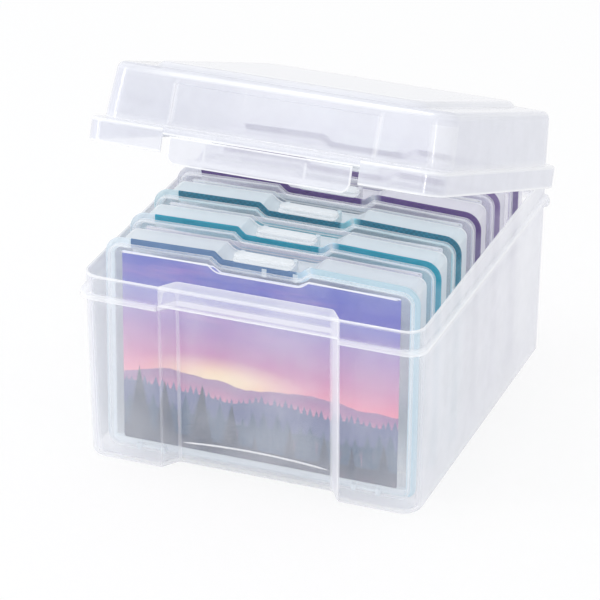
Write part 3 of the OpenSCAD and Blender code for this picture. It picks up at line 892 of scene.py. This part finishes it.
@dataclass
class Lid:
    """The lid, drawn closed and then turned open about its hinge."""

    open_deg: float = 21.6
    hinge_x: float = 62.0
    hinge_y: float = 125.3
    hinge_z: float = 112.3
    skirt_half: float = 112.0
    skirt_front: float = -127.7
    skirt_back: float = 129.3
    skirt_z: float = 113.2
    ledge_z: float = 127.8
    wall: float = 1.6
    corner_r: float = 14.0
    dome_half: float = 110.0
    dome_front: float = -111.5
    dome_back: float = 114.5
    dome_z: float = 161.8
    lean: float = 1.8
    front_lean: float = 3.0
    edge_r: float = 5.0
    plateau_half: float = 86.5
    plateau_front: float = -99.0
    plateau_back: float = 107.7
    plateau_h: float = 3.2
    panel_half: float = 64.5
    panel_top: float = 153.5
    panel_in: float = 0.6
    slot_half: float = 62.0
    slot_top: float = 123.8
    notch_half: float = 14.3
    notch_top: float = 118.1
    knuckle_r: float = 2.8
    knuckle_len: float = 19.0

    def plan(self, half: float, front: float, back: float, shrink: float = 1.0) -> Outline:
        """An outline with plain points at the panel's, slot's and notches' borders.

        Args:
            half: half width.
            front: y of the front.
            back: y of the back.
            shrink: factor on the places of the plain points.

        Returns:
            The outline.
        """
        p, s, r = self.panel_half, self.slot_half, self.corner_r
        places = [(p + 2.4, "near"), (p + 0.4, "rise"), (p, "sink"), (s + 0.05, "panel"), (s - 0.05, "slot")]
        near = [(-x * shrink, front, 0, 1, tag) for x, tag in places]
        near += [(x * shrink, front, 0, 1, tag) for x, tag in places[::-1]]
        lo, hi = self.hinge_x - self.notch_half, self.hinge_x + self.notch_half
        places = [(hi + 0.05, "far"), (hi - 0.05, "notch"), (lo + 0.05, "notch"), (lo - 0.05, "far")]
        far = [(x * shrink, back, 0, 1, tag) for x, tag in places]
        far += [(-x * shrink, back, 0, 1, tag) for x, tag in places[::-1]]
        return Outline.listed([(-half, front, r, 10, "left"), *near, (half, front, r, 10, "right"),
                               (half, back, r, 10, "far"), *far, (-half, back, r, 10, "far")])

    def dome(self, z: float) -> Outline:
        """The dome's outline at a height: its walls lean in by a share of the lean that grows with height."""
        s = np.clip((z - self.ledge_z) / (self.dome_z - self.edge_r - self.ledge_z), 0, 1)
        return self.plan(self.dome_half - self.lean * s, self.dome_front + self.front_lean * s,
                         self.dome_back - self.lean * s)

    def body(self) -> Shell:
        """The lid as one closed loft: down the outside from the plateau, round the lip and up the inside."""
        skirt = self.plan(self.skirt_half, self.skirt_front, self.skirt_back)
        flat = self.plan(self.plateau_half, self.plateau_front, self.plateau_back, 0.93)
        lip = np.where(skirt.at("notch"), self.notch_top, self.skirt_z)
        lip = np.where(skirt.at("slot"), self.slot_top, lip)
        panel = skirt.at("sink", "panel", "slot")
        # Painted highlights: bright vertical lines at the panel's edges (0.7) and a bright vertical bar on
        # the dome's right front corner (0.55).
        folds_and_highlights = 0.7 * skirt.at("rise", "sink") + 0.55 * skirt.bends("right")
        # Painted highlight: a bright line along the front of the dome's top edge, weaker (0.35) on its two
        # front corners.
        bright = skirt.at("near", "rise", "sink", "panel", "slot") + 0.35 * skirt.at("left", "right")
        t, w = np.linspace(math.pi / 2, 0, 7), self.wall
        top, edge, ledge = self.dome_z, self.edge_r, self.ledge_z
        high = top + self.plateau_h
        # The rim values make the plateau's edge, the ledge's edges and the lip denser and paint them whiter
        # as highlight lines.
        parts = [(flat, i, z, rim) for i, z, rim in (
            (9.0, high, 0), (4.6, high, 0), (3.6, high - 0.1, 0.5), (2.9, high - 0.5, 0.8),
            (0.5, top + 0.35, 0.3), (0.0, top + 0.08, 0.6), (-0.9, top, 0.0))]
        glow = [0, 0, 0.2, 0.5, bright, bright, 0.1]
        parts += [(self.dome(top), edge * (1 - math.cos(a)), top - edge + edge * math.sin(a), rim)
                  for a, rim in zip(t, glow)]
        parts += [(self.dome(z), 0.0, z, np.minimum(folds_and_highlights, 1.0) * share) for z, share in (
            (self.panel_top + 0.4, 0.6), (self.panel_top, 1.0), (146.0, 1.0), (139.0, 1.0), (132.0, 1.0))]
        foot = self.dome(ledge)
        parts += [(self.dome(ledge + 0.6), 0.0, ledge + 0.6, 0.5), (foot, -0.12, ledge + 0.12, 0.8),
                  (foot, -0.5, ledge, 0.8)]
        parts += [(skirt, i, ledge - d, rim) for i, d, rim in (
            (1.4, 0.0, 0.9), (0.7, 0.2, 1), (0.2, 0.7, 1), (0, 1.4, 1), (0, 2.6, 0.0))]
        parts += [(skirt, i, lip + d, rim) for i, d, rim in (
            (0, 4.0, 0), (0, 1.9, 0), (0, 0.7, 1), (0.2, 0.2, 1), (0.6, 0, 1), (1.0, 0, 1), (1.4, 0.2, 1),
            (w, 0.7, 1), (w, 1.9, 0))]
        roof = ledge - w
        parts += [(skirt, w, roof - 1.4, 0), (skirt, w, roof - 0.5, 0), (skirt, w + 0.5, roof, 0),
                  (foot, w - 0.5, roof, 0), (foot, w, roof + 0.5, 0)]
        parts += [(self.dome(z), w, z, 0) for z in (132, 139, 146, 152)]
        inner = edge - w
        parts += [(self.dome(top), w + inner * (1 - math.cos(a)), top - edge + inner * math.sin(a), 0)
                  for a in t[::-1]]
        parts += [(flat, i, z - w, 0) for i, z in (
            (w, top), (w + 0.6, top + 0.2), (4.4, high - 0.3), (5.4, high), (9.0, high))]
        rings = [ring(outline.points(i), z, Axis.Z) for outline, i, z, _ in parts]
        rims = [rim for *_, rim in parts]
        for low in rings[15:20]:
            low[:, 1] += self.panel_in * panel
        for share in (0.85, 0.15):
            rings.insert(22, rings[21] * (1 - share) + rings[22] * share)
            rims.insert(22, 0.1)
        return loft(rings, None, rims)

    def arms(self) -> list[Shell]:
        """The knuckles, and the arm that joins each to the ledge."""
        shells = []
        for side in (-1, 1):
            x, half = side * self.hinge_x, self.knuckle_len / 2
            shells.append(bar(x, self.knuckle_len, self.hinge_y, self.hinge_z, self.knuckle_r))
            shells.append(block((x - half, self.hinge_y - 1.4, self.hinge_z), (x + half, self.hinge_y + 1.4,
                                                                             self.ledge_z - 0.6), 0.5))
        # The rim value 0.3 makes the knuckles and arms denser and paints them a little whiter as a highlight.
        return [s.marked(0.0, 0.3) for s in shells]

    def build(self, finishes: Finishes) -> None:
        """Makes the lid's piece."""
        angle = math.radians(-self.open_deg)
        shells = [s.turned(angle, self.hinge_y, self.hinge_z) for s in (self.body(), *self.arms())]
        make_piece("lid_shell", shells, finishes.lid, "lid", "lid")


@dataclass
class LatchTab:
    """The flexing tab in the lid's front skirt, with its catch rib."""

    lid: Lid
    half: float = 57.5
    low: float = 107.0
    high: float = 123.5
    corner_r: float = 6.0
    rib_half: float = 45.0
    rib_reach: float = 2.4
    rib_top: float = 111.6
    rib_h: float = 3.2

    def build(self, finishes: Finishes) -> None:
        """Makes the tab: a rounded plate, a catch that is a profile carried along X, and two stiffeners."""
        front, back = self.lid.skirt_front, self.lid.skirt_front + self.lid.wall
        h, r = self.half, self.corner_r
        face = Outline.listed([(-h, self.low, r, 10, ""), (h, self.low, r, 10, ""),
                               (h, self.high, 0.4, 3, ""), (-h, self.high, 0.4, 3, "")])
        # Painted highlight: the rim value 1.0 paints the plate's rounded edge as a bright outline; 0.5 and
        # 0.7 do the same, weaker, on the catch rib and the stiffeners.
        plate = slab(face, front, back, 0.6, Axis.Y, 3, 1.0)
        y, z, t = back - 0.1, self.rib_top, self.rib_reach
        foot = z - self.rib_h
        ridge = Outline(np.array([[y, foot], [y + t / 2, foot], [back + t, z - self.rib_h / 3], [back + t, z],
                                  [y, z]]), np.full(5, 0.35), np.full(5, 3))
        rib = slab(ridge, -self.rib_half, self.rib_half, 0.2, Axis.X, 2).marked(0.0, 0.5)
        stays = [block((x, back - 0.1, self.low + 1), (x + 1.5, back + 0.6, 121.0), 0.25).marked(0.0, 0.7)
                 for x in (-35.5, 27.8)]
        angle = math.radians(-self.lid.open_deg)
        shells = [s.turned(angle, self.lid.hinge_y, self.lid.hinge_z) for s in (plate, rib, *stays)]
        make_piece("lid_tab", shells, finishes.lid, "lid_latch_tab", "lid_latch_tab")


@dataclass
class PhotoCase:
    """One photo case: tray with a coloured band, clear cover, latch and the sheet that it holds."""

    number: int
    tint: Tint
    pale: float = 0.12
    front_y: float = -108.1
    pitch: float = 37.3
    width: float = 201.0
    low: float = 2.5
    height: float = 141.0
    depth: float = 31.8
    wall: float = 1.2
    corner_r: float = 11.0
    foot_r: float = 7.0
    band_w: float = 3.0
    band_t: float = 2.0
    body_in: float = 5.0
    crown: float = 0.8
    droop: float = 1.0
    dip_half: float = 30.0
    dip_run: float = 5.5
    dip_h: float = 3.8
    dip_r: float = 2.5
    bare_x: float = -84.0
    crest_x: float = 87.0
    fade_z: Sequence[float] = (40.0, 112.0, 125.0)
    cover_d: float = 4.6
    cover_back: float = 4.3
    cover_wall: float = 1.0
    cover_foot: float = 0.5
    hinge_x: float = 70.0
    hinge_y: float = 2.11
    hinge_z: float = 5.1
    knuckle_r: float = 2.1
    knuckle_len: float = 12.0
    lug_t: float = 3.0
    side_gap: float = 0.4
    latch_half: float = 19.0
    latch_len: float = 30.0
    latch_z: float = 139.8
    latch_t: float = 1.2
    latch_bar_h: float = 2.6
    latch_axis_y: float = 17.6
    latch_axis_z: float = 139.2
    latch_r: float = 2.0
    latch_lug: Sequence[float] = (133.9, 141.2)
    plate_y: Sequence[float] = (4.5, 15.2)
    grip_y: Sequence[float] = (6.4, 14.6)
    grip_r: float = 4.0
    clip_x: Sequence[float] = (2.2, 22.0)
    clip_low: float = 133.6
    sheet_w: float = 178.0
    sheet_y: float = 3.2
    sheet_t: float = 0.6
    sheet_low: float = 8.4
    sheet_high: float = 135.4
    sheet_dip: float = 3.2

    def face(self) -> Outline:
        """The case from the front: round corners, and a top that rises a little to a shallow dip."""
        h, top, half, r = self.width / 2, self.low + self.height, self.dip_half, self.dip_r
        foot, dip, brow, end = half - self.dip_run, top - self.dip_h, top + self.crown, top - self.droop

        def crest(x: float, tag: str) -> tuple:
            """A plain point on the sloping top."""
            return x, brow - (abs(x) - half) * (brow - end) / (h - half), 0, 1, tag

        return Outline.listed([
            (-h, self.low, self.foot_r, 7, "left"), (h, self.low, self.foot_r, 7, "foot"),
            *((h, z, 0, 1, tag) for z, tag in zip(self.fade_z, ("foot", "under", "upper"))),
            (h, end, self.corner_r, 9, "bend"), crest(self.crest_x, "full"), crest(half + 6, "full"),
            (half, brow, r, 5, "bare"), (foot, dip, r, 5, "slope"), (foot - r, dip, 0, 1, "full"),
            (-foot, dip, r, 5, "full"), (-half, brow, r, 5, "full"), crest(self.bare_x + 0.2, "full"),
            crest(self.bare_x - 0.2, "tip"), crest(-self.crest_x, "tip"),
            (-h, end, self.corner_r, 9, "left")])

    def skin(self, rows: Sequence[tuple], share: Union[float, np.ndarray] = 1.0) -> Shell:
        """Lofts a part that follows the case's outline.

        Args:
            rows: for each ring its inset, its inset at the bottom, its place behind the case's front, its
                tint and its rim.
            share: how much of a tint above `pale` each point takes.

        Returns:
            The shell.
        """
        face = self.face()
        insets = [np.r_[row[1], np.full(len(face.corners) - 1, row[0])] for row in rows]
        rings = [ring(face.points(inset), row[2], Axis.Y) for inset, row in zip(insets, rows)]
        tints = [row[3] * (share if row[3] > self.pale else 1.0) for row in rows]
        return loft(rings, tints, [row[4] for row in rows])

    def tray(self) -> list[Shell]:
        """The tray: from the inside of its back, round the band, to its outside, and the fittings on it."""
        face, w, c, pale = self.face(), self.wall, self.cover_d, self.pale
        deep, b, inner, back = self.depth, self.body_in, self.body_in + self.wall, self.cover_d + self.band_t
        share = (0.1 * face.at("left", "tip") + 0.6 * face.at("foot") + 0.15 * face.at("bare")
                 + 0.5 * face.at("slope") + 0.85 * face.at("under", "upper") + face.at("full", "bend"))
        if self.number == 1:
            share = np.maximum(share, 0.9 * face.at("foot", "under"))
        strip = 1 if self.number == 1 else TintedTray.MIDDLE
        # The rim values 0.3 on the band's back edge and 0.9 to 1 on the back wall's rounded top edge make
        # them denser and paint them whiter as highlight lines; the fittings take 0.25.
        shell = self.skin([
            (inner + 2.0, w + 2.0, deep - w, 0, 0), (inner + 0.5, w + 0.5, deep - w, 0, 0),
            (inner, w, deep - w - 0.8, 0, 0), (inner, w, 18, 0, 0), (inner, w, back, 0, 0),
            (inner, w, c + 0.3, TintedTray.MIDDLE, 0), (inner - 0.3, w - 0.3, c, strip, 0),
            (4.6, 0.7, c, strip, 0), (4.4, 0.68, c, 1, 0), (1.2, 0.58, c, 1, 0), (0.4, 0.4, c, 1, 0),
            (0, 0, c + 0.4, 1, 0), (0, 0, c + 1.1, 1, 0), (0, 0, c + 1.3, pale, 0),
            (0.4, 0.05, back, pale, 0.3), (b - 0.4, 0.02, back, pale, 0), (b, 0.0, back + 0.5, 0, 0),
            (b, 0, 14, 0, 0), (b, 0, deep - 2.4, 0, 0), (b, 0, deep - 1.2, 0, 0.9),
            (b + 0.35, 0.35, deep - 0.35, 0, 1), (b + 1.2, 1.2, deep, 0, 1), (b + 2.4, 2.4, deep, 0, 0),
            (b + 4, 4, deep, 0, 0)], share)
        half, low, lug = self.width / 2 - self.body_in, self.sheet_low, self.lug_t / 2
        extra = [block((-half, self.sheet_y - 0.1, low - 1.1), (half, c + 2, low - 0.1), 0.3),
                 block((-half, c, self.low + 0.05), (half, c + 2, low - 0.5), 0.3)]
        y, z, r = self.hinge_y, self.hinge_z, self.knuckle_r
        lug_low, lug_high = self.latch_lug
        long, short = (n + 2 * self.side_gap + self.lug_t for n in (self.latch_len, self.knuckle_len))
        for side in (-1, 1):
            for end in (-1, 1):
                x = side * self.hinge_x + end * short / 2
                extra.append(block((x - lug, y - r, z - r), (x + lug, c + 0.1, z + r), 0.5))
            extra.append(bar(side * self.hinge_x, short, y, z, 1.0, 0.2, 16))
            x, back, reach = side * long / 2, self.latch_axis_y, self.latch_r
            extra.append(block((x - lug, back - reach, lug_low), (x + lug, back + reach, lug_high), 0.5))
        extra.append(bar(0, long, self.latch_axis_y, self.latch_axis_z, 0.9, 0.2, 16))
        if self.number == 1:
            extra += [block((x - 1.5, c - 0.25, self.clip_low), (x + 1.5, c + 0.1, self.clip_low + 5), 0.1)
                      for x in self.clip_x]
        return [shell, *(s.marked(pale, 0.25) for s in extra)]

    def cover(self) -> list[Shell]:
        """The clear cover: a shallow pan with a rounded front edge, whose brightness is a painted highlight,
        and its two knuckles.
        """
        b, w, foot, back = self.band_w, self.cover_wall, self.cover_foot, self.cover_back
        # Painted highlights: `line` paints a bright frame line 3.3 to 4.5 mm in from the edge, where the
        # front is flat; 0.35 to 0.45 whitens the rounded front edge and 0.3 the back edge.
        line = self.face().at("full", "bare", "slope", "tip")
        pan = self.skin([(b + inset, foot + inset, y, 0, rim) for inset, y, rim in (
            (6, 0, 0), (4.5, 0, 0), (4.3, 0, line), (3.5, 0, line), (3.3, 0, 0), (1.2, 0, 0), (0.8, 0, 0.35),
            (0.25, 0.25, 0.45), (0, 0.9, 0.35), (0, 1.5, 0), (0, back - 0.3, 0.3), (0.3, back, 0.3),
            (w - 0.3, back, 0.3), (w, back - 0.3, 0), (w, w + 0.6, 0), (w + 0.5, w, 0), (w + 4, w, 0))])
        return [pan, *(bar(side * self.hinge_x, self.knuckle_len, self.hinge_y, self.hinge_z, self.knuckle_r)
                       for side in (-1, 1))]

    def latch(self) -> list[Shell]:
        """The latch: a thin plate, a soft rounded finger grip and the knuckle at the back."""
        z, t, h, half = self.latch_z, self.latch_t, self.latch_half, self.latch_len / 2
        plate = slab(rectangle(-h, h, *self.plate_y, 3.0), z, z + t, 0.5, Axis.Z)
        arm = block((-half, self.plate_y[1] - 0.2, z), (half, self.latch_axis_y, z + t), 0.4)
        outline, high = rectangle(-h, h, *self.grip_y, self.grip_r, 8), z + t + self.latch_bar_h
        # Painted highlight: the rim value 0.15 whitens the grip's rounded edges a little.
        grip = slab(outline, z + t - 0.2, high, 1.35, Axis.Z, 4, 0.15)
        return [plate, arm, grip, bar(0, self.latch_len, self.latch_axis_y, self.latch_axis_z, self.latch_r)]

    def sheet(self) -> list[Shell]:
        """The print or card on the shelf; the print's top edge follows the dip, as the frame line does."""
        h, low, top, half = self.sheet_w / 2, self.sheet_low, self.sheet_high, self.dip_half
        edge = rectangle(-h, h, low, top, 1.0, 4)
        if self.number == 1:
            foot, dip = half - self.dip_run, top - self.sheet_dip
            edge = Outline.listed([(x, z, 1.0, k, "") for x, z, k in (
                (-h, low, 4), (h, low, 4), (h, top, 4), (half, top, 3), (foot, dip, 3), (-foot, dip, 3),
                (-half, top, 3), (-h, top, 4))])
        return [slab(edge, self.sheet_y, self.sheet_y + self.sheet_t, 0.15, Axis.Y, 1)]

    def build(self, finishes: Finishes) -> None:
        """Makes the case's four pieces."""
        name, look, slot = f"case_{self.number}", self.tint.value, f"{self.tint.name.lower()}_tray"
        tray, sheet, node, paper = TintedTray(slot, look).build(), "picture", "print", finishes.sheet
        if look.card:
            sheet, node, paper = "sheet", "card", MattCard(f"{name}_paper", linear(*look.card)).build()
        y = self.front_y + (self.number - 1) * self.pitch
        for piece, shells, material, body, part, finish in (
                ("tray_shell", self.tray(), tray, "", "_tray", slot),
                ("cover_shell", self.cover(), finishes.cover, "_cover", "_cover", "clear_cover"),
                ("latch_bar", self.latch(), finishes.latch, "_latch", "_latch", "latch_white"),
                (sheet, self.sheet(), paper, "", f"_{node}", look.sheet_slot)):
            shells = [s.shifted(y) for s in shells]
            make_piece(f"{name}_{piece}", shells, material, name + body, name + part)


@dataclass
class Studio:
    """The floor, the light and the camera at the photograph's viewing angle."""

    eye: Sequence[float] = (0.7155, -1.9332, 1.0899)
    target: Sequence[float] = (-0.00006, -0.0367, 0.0871)
    middle: Sequence[float] = (0.0, 0.0, 0.1)
    roll_deg: float = 0.61
    lens: float = 220.65
    floor_half: float = 4.0
    floor_z: float = -0.0003
    floor_even: float = 0.8
    daylight: float = 0.8
    lamps: Sequence[tuple] = (("top", (-0.5, -0.2, 2.6), (0.9, 0.5), 11.0),
                              ("front", (0.9, -2.4, 1.0), (0.15, 1.2), 8.5),
                              ("left", (-2.0, -0.9, 0.8), (0.15, 1.2), 8.5))

    def camera(self) -> None:
        """Places the camera: it looks from eye to target and is rolled about that line."""
        data = bpy.data.cameras.new("camera")
        data.lens, data.sensor_width, data.sensor_fit = self.lens, 36.0, "HORIZONTAL"
        data.clip_start, data.clip_end = 0.05, 50
        obj = bpy.data.objects.new("camera", data)
        eye = Vector(self.eye)
        forward = (Vector(self.target) - eye).normalized()
        right = forward.cross(Vector((0, 0, 1))).normalized()
        up = right.cross(forward)
        c, s = math.cos(math.radians(self.roll_deg)), math.sin(math.radians(self.roll_deg))
        x, y = c * right + s * up, -s * right + c * up
        obj.matrix_world = Matrix.Translation(eye) @ Matrix((x, y, -forward)).transposed().to_4x4()
        bpy.context.scene.collection.objects.link(obj)
        bpy.context.scene.camera = obj

    def lamp(self, name: str, place: Sequence[float], size: Sequence[float], power: float) -> None:
        """Adds one soft rectangular lamp that faces the object's middle."""
        data = bpy.data.lights.new(name, "AREA")
        data.shape, data.size, data.size_y, data.energy = "RECTANGLE", size[0], size[1], power
        obj = bpy.data.objects.new(name, data)
        obj.location = place
        obj.rotation_mode = "QUATERNION"
        obj.rotation_quaternion = (Vector(self.middle) - Vector(place)).to_track_quat("-Z", "Y")
        bpy.context.scene.collection.objects.link(obj)

    def floor(self) -> None:
        """The pale floor: part diffuse, so that it keeps the shadow, and part even white to the camera."""
        side = np.linspace(-self.floor_half, self.floor_half, 9)
        x, y = np.meshgrid(side, side)
        n = len(side)
        i, j = np.meshgrid(np.arange(n - 1), np.arange(n - 1), indexing="ij")
        quads = np.stack([i * n + j, i * n + j + 1, (i + 1) * n + j + 1, (i + 1) * n + j], -1).reshape(-1, 4)
        mesh = bpy.data.meshes.new("floor")
        points = np.stack([x, y, np.full_like(x, self.floor_z)], -1).reshape(-1, 3)
        mesh.from_pydata(points.tolist(), [], quads.tolist())
        g = Graph("pale_floor")
        path = g.add("LightPath").outputs
        seen = g.plus(path["Is Camera Ray"], path["Is Glossy Ray"])
        seen = g.plus(seen, path["Is Transmission Ray"], clamp=True)
        matt = g.add("BsdfDiffuse", {"Color": (0.97, 0.97, 0.975, 1)})
        even = g.add("Emission", {"Color": (1, 1, 1, 1), "Strength": 1.0})
        both = g.add("MixShader", {0: g.times(seen, self.floor_even), 1: matt.outputs[0],
                                             2: even.outputs[0]})
        mesh.materials.append(g.finish(both.outputs[0]))
        obj = bpy.data.objects.new("floor", mesh)
        bpy.context.scene.collection.objects.link(obj)

    def world(self) -> None:
        """Even white light all round, and a white background for the camera."""
        g = Graph("studio", bpy.data.worlds)
        bpy.context.scene.world = g.block
        light = g.add("Background", {"Color": (0.97, 0.98, 1.0, 1), "Strength": self.daylight}).outputs[0]
        seen = g.add("LightPath").outputs["Is Camera Ray"]
        both = g.add("MixShader", {0: seen, 1: light, 2: g.add("Background").outputs[0]})
        g.add("OutputWorld", {"Surface": both.outputs[0]})

    def build(self) -> None:
        """Sets up the whole studio."""
        scene = bpy.context.scene
        scene.view_settings.view_transform = "Standard"
        scene.cycles.transparent_max_bounces = 96
        self.camera()
        self.floor()
        self.world()
        for lamp in self.lamps:
            self.lamp(*lamp)


def main() -> None:
    """Builds the whole look in order."""
    logging.basicConfig(level=logging.INFO, format="%(name)s: %(message)s")
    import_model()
    finishes = Finishes()
    Tub().build(finishes)
    lid = Lid()
    lid.build(finishes)
    LatchTab(lid).build(finishes)
    for number, tint in enumerate(Tint, 1):
        PhotoCase(number, tint).build(finishes)
    Studio().build()


if __name__ == "__main__":
    main()
